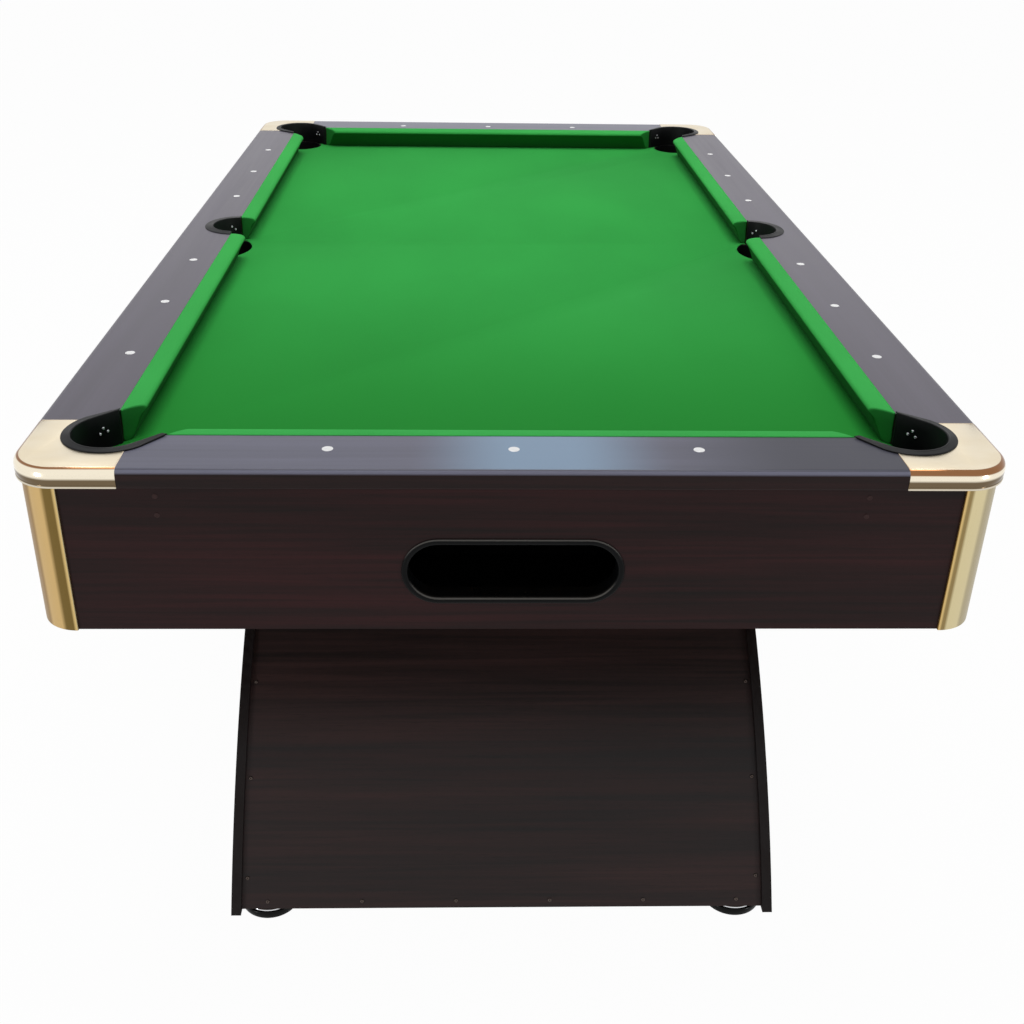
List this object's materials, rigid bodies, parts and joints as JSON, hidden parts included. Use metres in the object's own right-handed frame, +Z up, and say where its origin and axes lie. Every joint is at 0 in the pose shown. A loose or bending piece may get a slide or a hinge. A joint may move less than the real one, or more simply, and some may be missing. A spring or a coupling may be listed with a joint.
{
  "type": "billiard table",
  "caption": "Cloth-covered billiard table with gold-capped corners, drop pockets, a ball return opening and a broad arched base on levelling feet.",
  "frame": {"origin": "on the floor, under the middle of the table", "axes": "+Y runs along the table to the head end, so -Y is the foot end with the ball return; +X to the right as seen from the foot end; +Z up"},
  "size_m": [1.222, 2.142, 0.8235],
  "materials": {
    "rail_laminate": "satin dark mahogany laminate",
    "cabinet_laminate": "satin near-black brown laminate with a fine grain",
    "leg_laminate": "satin dark brown laminate",
    "frame_board": "bare fibreboard",
    "bed_fibreboard": "bare fibreboard",
    "bed_cloth": "napped green playing cloth",
    "cushion_rubber": "gum rubber wrapped in green playing cloth",
    "sight_plastic": "polished white",
    "cap_metal": "polished pale gold",
    "trim_metal": "brushed pale gold",
    "pocket_plastic": "moulded black plastic, fine texture",
    "bezel_plastic": "satin black plastic",
    "foot_plastic": "polished black",
    "zinc_steel": "bright zinc plate"
  },
  "bodies": {
    "table": {"bed_board": "bed_fibreboard", "bed_cloth": "bed_cloth", "corner_blocks": "frame_board", "corner_caps": "cap_metal", "corner_pocket_liners": "pocket_plastic", "corner_trims": "trim_metal", "cross_beams": "frame_board", "end_beams": "frame_board", "foot_apron": "cabinet_laminate", "foot_cushion": "cushion_rubber", "foot_leg_inner_panel": "leg_laminate", "foot_leg_left_side": "leg_laminate", "foot_leg_outer_panel": "leg_laminate", "foot_leg_right_side": "leg_laminate", "foot_rail": "rail_laminate", "frame_bolts": "zinc_steel", "gutter_ends": "frame_board", "gutter_floors": "frame_board", "gutter_saddles": "frame_board", "gutter_sides": "frame_board", "head_apron": "cabinet_laminate", "head_cushion": "cushion_rubber", "head_leg_inner_panel": "leg_laminate", "head_leg_left_side": "leg_laminate", "head_leg_outer_panel": "leg_laminate", "head_leg_right_side": "leg_laminate", "head_rail": "rail_laminate", "left_apron": "cabinet_laminate", "left_foot_cushion": "cushion_rubber", "left_head_cushion": "cushion_rubber", "left_rail": "rail_laminate", "leg_bottom_plates": "frame_board", "leg_top_plates": "frame_board", "long_beams": "frame_board", "middle_pocket_liners": "pocket_plastic", "rail_sights": "sight_plastic", "return_bezel": "bezel_plastic", "return_box": "frame_board", "right_apron": "cabinet_laminate", "right_foot_cushion": "cushion_rubber", "right_head_cushion": "cushion_rubber", "right_rail": "rail_laminate", "threaded_inserts": "zinc_steel"},
    "left_foot_pad": {"left_foot_leveller_pad": "foot_plastic"},
    "left_foot_stud": {"left_foot_leveller_stud": "zinc_steel"},
    "left_head_pad": {"left_head_leveller_pad": "foot_plastic"},
    "left_head_stud": {"left_head_leveller_stud": "zinc_steel"},
    "right_foot_pad": {"right_foot_leveller_pad": "foot_plastic"},
    "right_foot_stud": {"right_foot_leveller_stud": "zinc_steel"},
    "right_head_pad": {"right_head_leveller_pad": "foot_plastic"},
    "right_head_stud": {"right_head_leveller_stud": "zinc_steel"}
  },
  "joints": [
    {"name": "left_foot_pad_height", "type": "slide", "parent": "table", "child": "left_foot_pad", "axis": [0, 0, 1], "range_m": [-0.015, 0.0015]},
    {"name": "left_foot_stud_turn", "type": "hinge", "parent": "left_foot_pad", "child": "left_foot_stud", "pos_m": [-0.365, -0.94397, 0.03], "axis": [0, 0, 1], "range_deg": [-3600, 360]},
    {"name": "left_head_pad_height", "type": "slide", "parent": "table", "child": "left_head_pad", "axis": [0, 0, 1], "range_m": [-0.015, 0.0015]},
    {"name": "left_head_stud_turn", "type": "hinge", "parent": "left_head_pad", "child": "left_head_stud", "pos_m": [-0.365, 0.94397, 0.03], "axis": [0, 0, 1], "range_deg": [-3600, 360]},
    {"name": "right_foot_pad_height", "type": "slide", "parent": "table", "child": "right_foot_pad", "axis": [0, 0, 1], "range_m": [-0.015, 0.0015]},
    {"name": "right_foot_stud_turn", "type": "hinge", "parent": "right_foot_pad", "child": "right_foot_stud", "pos_m": [0.365, -0.94397, 0.03], "axis": [0, 0, 1], "range_deg": [-3600, 360]},
    {"name": "right_head_pad_height", "type": "slide", "parent": "table", "child": "right_head_pad", "axis": [0, 0, 1], "range_m": [-0.015, 0.0015]},
    {"name": "right_head_stud_turn", "type": "hinge", "parent": "right_head_pad", "child": "right_head_stud", "pos_m": [0.365, 0.94397, 0.03], "axis": [0, 0, 1], "range_deg": [-3600, 360]}
  ],
  "couplings": [
    {"joint": "left_foot_stud_turn", "follows": "left_foot_pad_height", "rad_per_m": 4188.8},
    {"joint": "left_head_stud_turn", "follows": "left_head_pad_height", "rad_per_m": 4188.8},
    {"joint": "right_foot_stud_turn", "follows": "right_foot_pad_height", "rad_per_m": 4188.8},
    {"joint": "right_head_stud_turn", "follows": "right_head_pad_height", "rad_per_m": 4188.8}
  ]
}
